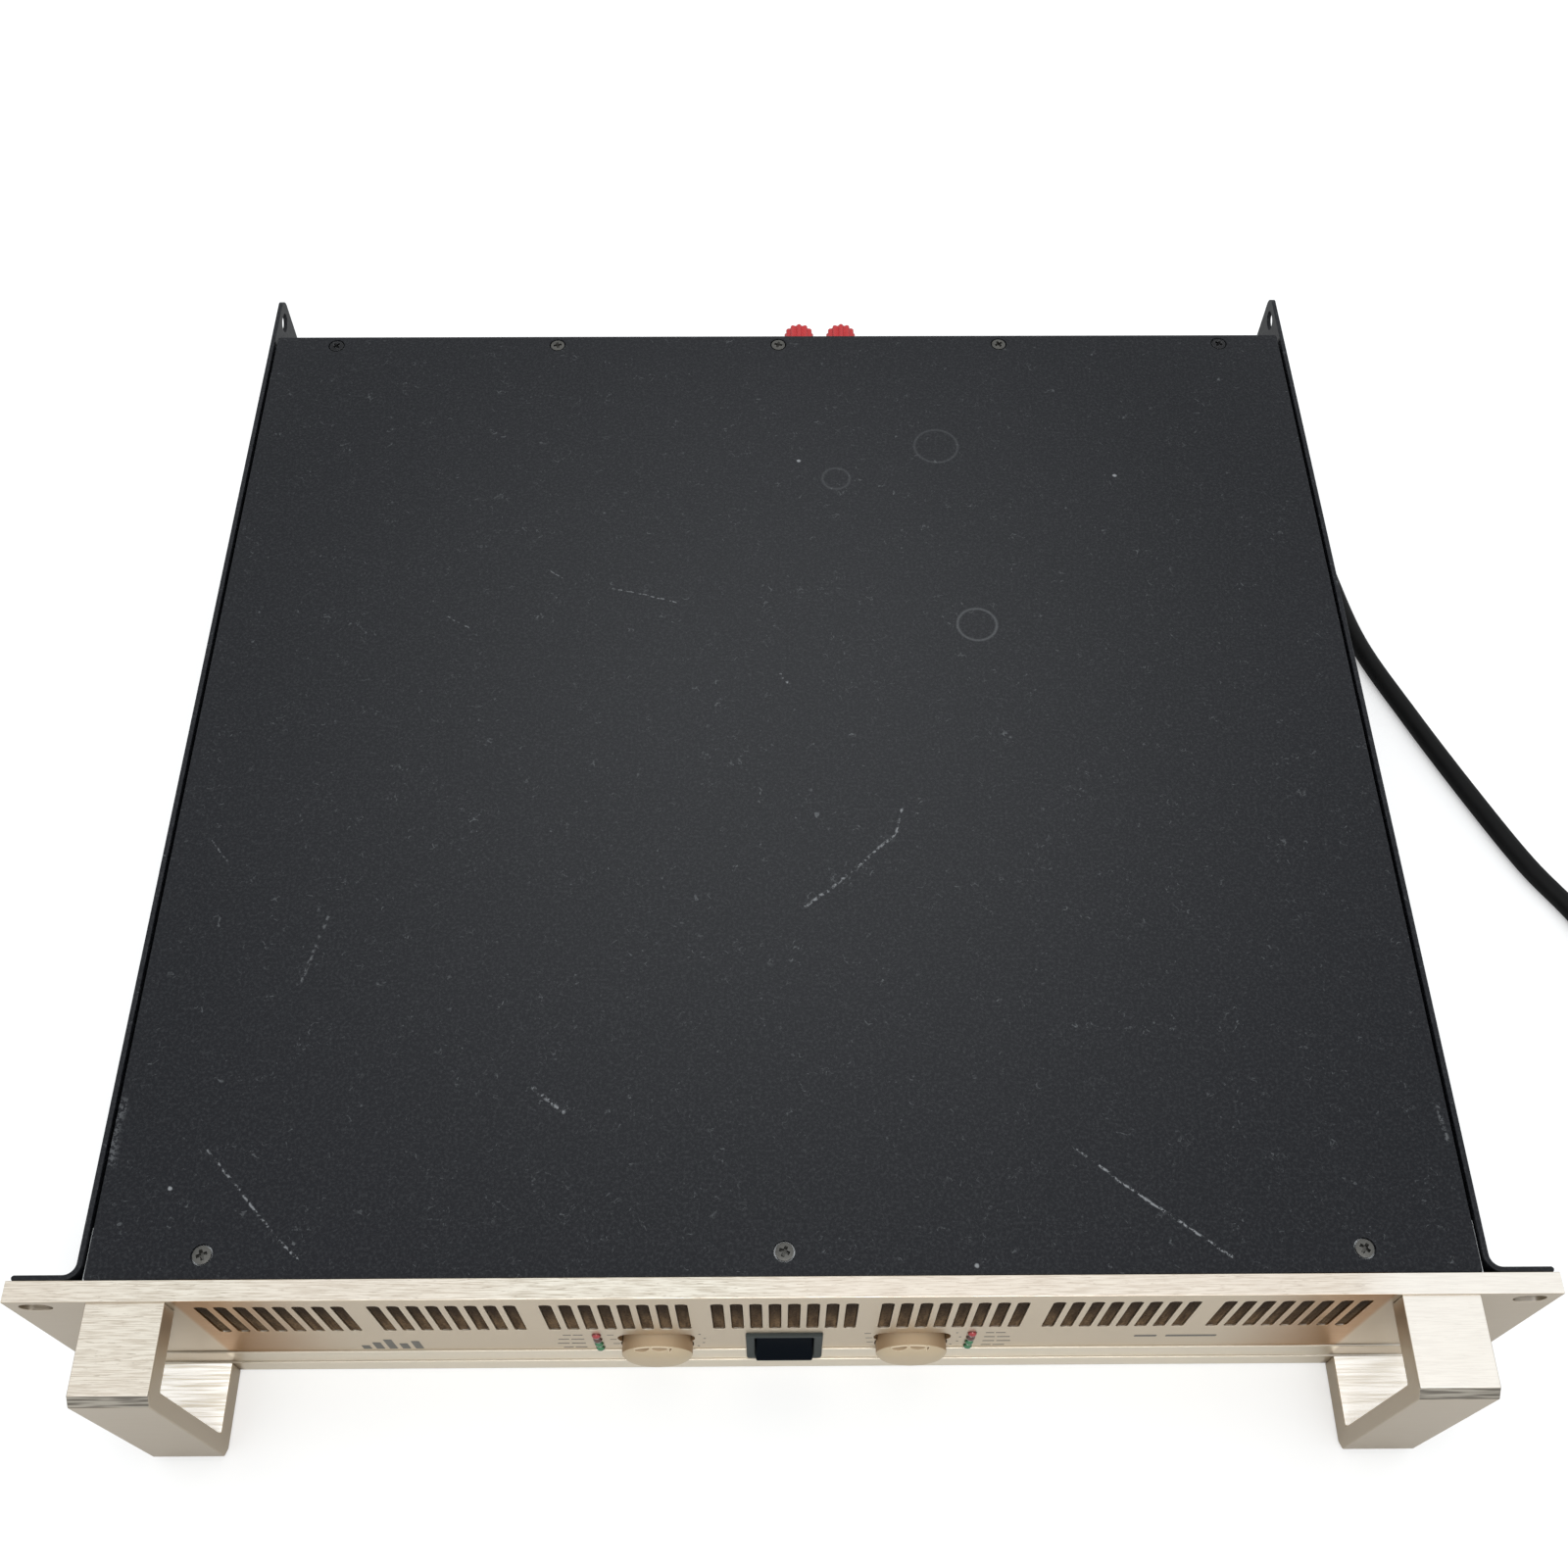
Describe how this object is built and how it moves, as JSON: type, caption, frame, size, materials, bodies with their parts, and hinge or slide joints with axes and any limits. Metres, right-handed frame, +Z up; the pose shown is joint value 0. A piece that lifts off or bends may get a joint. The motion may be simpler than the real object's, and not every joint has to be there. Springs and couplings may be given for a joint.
{
  "type": "power amplifier",
  "caption": "Two-unit rack power amplifier: gold brushed front panel with handles, level knobs, lamps and rocker switch, on a black sheet-steel chassis with rear terminals and mains lead.",
  "frame": {"origin": "centre of the underside of the chassis, on the plane that it rests on", "axes": "+X to the right of the front panel, +Y towards the back, +Z up"},
  "size_m": [0.6066, 0.4984, 0.0884],
  "materials": {
    "gold_aluminium": "champagne anodised, brushed",
    "black_steel": "fine-textured black powder coat",
    "grey_steel": "worn machine screw heads",
    "zinc_steel": "zinc plated",
    "cream_plastic": "satin moulded",
    "grey_plastic": "matt moulded",
    "black_plastic": "satin moulded",
    "red_plastic": "gloss moulded",
    "foam": "open-cell filter foam",
    "lamp_red": "tinted epoxy",
    "lamp_green": "tinted epoxy",
    "circuit_board": "solder mask",
    "winding": "enamelled copper winding on a steel core",
    "capacitor_sleeve": "heat-shrunk sleeve",
    "raw_aluminium": "as extruded",
    "rubber": "flexible sheath"
  },
  "bodies": {
    "amplifier": {"air_filter": "foam", "amplifier_board_left": "circuit_board", "amplifier_board_right": "circuit_board", "cable_gland": "black_plastic", "capacitor_left_1": "capacitor_sleeve", "capacitor_left_2": "capacitor_sleeve", "capacitor_right_1": "capacitor_sleeve", "capacitor_right_2": "capacitor_sleeve", "chassis_base": "black_steel", "cover_screw_front_1": "grey_steel", "cover_screw_front_2": "grey_steel", "cover_screw_front_3": "grey_steel", "cover_screw_rear_1": "grey_steel", "cover_screw_rear_2": "grey_steel", "cover_screw_rear_3": "grey_steel", "cover_screw_rear_4": "grey_steel", "cover_screw_rear_5": "grey_steel", "fan_frame": "black_plastic", "front_brace": "zinc_steel", "front_circuit_board": "circuit_board", "front_panel": "gold_aluminium", "handle_left": "gold_aluminium", "handle_right": "gold_aluminium", "heat_sink_left": "raw_aluminium", "heat_sink_right": "raw_aluminium", "input_circuit_board": "circuit_board", "input_socket_1": "black_plastic", "input_socket_2": "black_plastic", "level_potentiometer_left": "zinc_steel", "level_potentiometer_right": "zinc_steel", "mains_cable": "rubber", "mains_plug": "rubber", "power_transformer": "winding", "rear_panel": "black_steel", "side_panel_left": "black_steel", "side_panel_right": "black_steel", "signal_lamp_left_1": "lamp_red", "signal_lamp_left_2": "lamp_red", "signal_lamp_left_3": "lamp_green", "signal_lamp_left_4": "lamp_green", "signal_lamp_right_1": "lamp_red", "signal_lamp_right_2": "lamp_red", "signal_lamp_right_3": "lamp_green", "signal_lamp_right_4": "lamp_green", "switch_housing": "grey_plastic", "terminal_block": "black_plastic", "top_cover": "black_steel", "transformer_clamp": "zinc_steel"},
    "left_level": {"level_knob_left": "cream_plastic", "level_shaft_left": "raw_aluminium"},
    "right_level": {"level_knob_right": "cream_plastic", "level_shaft_right": "raw_aluminium"},
    "power_rocker": {"switch_rocker": "black_plastic"},
    "rotor": {"fan_rotor": "black_plastic"},
    "upper_cap_1": {"terminal_cap_1_1": "red_plastic"},
    "upper_cap_2": {"terminal_cap_1_2": "red_plastic"},
    "lower_cap_1": {"terminal_cap_2_1": "black_plastic"},
    "lower_cap_2": {"terminal_cap_2_2": "black_plastic"},
    "latch_1": {"input_latch_1": "zinc_steel"},
    "latch_2": {"input_latch_2": "zinc_steel"}
  },
  "joints": [
    {"name": "left_level_turn", "type": "hinge", "parent": "amplifier", "child": "left_level", "pos_m": [-0.0427, -0.211, 0.0302], "axis": [0, 1, 0], "range_deg": [-150, 150]},
    {"name": "right_level_turn", "type": "hinge", "parent": "amplifier", "child": "right_level", "pos_m": [0.0427, -0.211, 0.0302], "axis": [0, 1, 0], "range_deg": [-150, 150]},
    {"name": "power_rocker_tilt", "type": "hinge", "parent": "amplifier", "child": "power_rocker", "pos_m": [0, -0.204, 0.0282], "axis": [1, 0, 0], "range_deg": [0, 14]},
    {"name": "fan_spin", "type": "hinge", "parent": "amplifier", "child": "rotor", "pos_m": [-0.145, 0.1884, 0.0428], "axis": [0, 1, 0], "continuous": true},
    {"name": "upper_cap_1_unscrew", "type": "slide", "parent": "amplifier", "child": "upper_cap_1", "axis": [0, 1, 0], "range_m": [0, 0.005]},
    {"name": "upper_cap_2_unscrew", "type": "slide", "parent": "amplifier", "child": "upper_cap_2", "axis": [0, 1, 0], "range_m": [0, 0.005]},
    {"name": "lower_cap_1_unscrew", "type": "slide", "parent": "amplifier", "child": "lower_cap_1", "axis": [0, 1, 0], "range_m": [0, 0.005]},
    {"name": "lower_cap_2_unscrew", "type": "slide", "parent": "amplifier", "child": "lower_cap_2", "axis": [0, 1, 0], "range_m": [0, 0.005]},
    {"name": "latch_1_press", "type": "slide", "parent": "amplifier", "child": "latch_1", "axis": [0, 0, -1], "range_m": [0, 0.0008]},
    {"name": "latch_2_press", "type": "slide", "parent": "amplifier", "child": "latch_2", "axis": [0, 0, -1], "range_m": [0, 0.0008]}
  ]
}
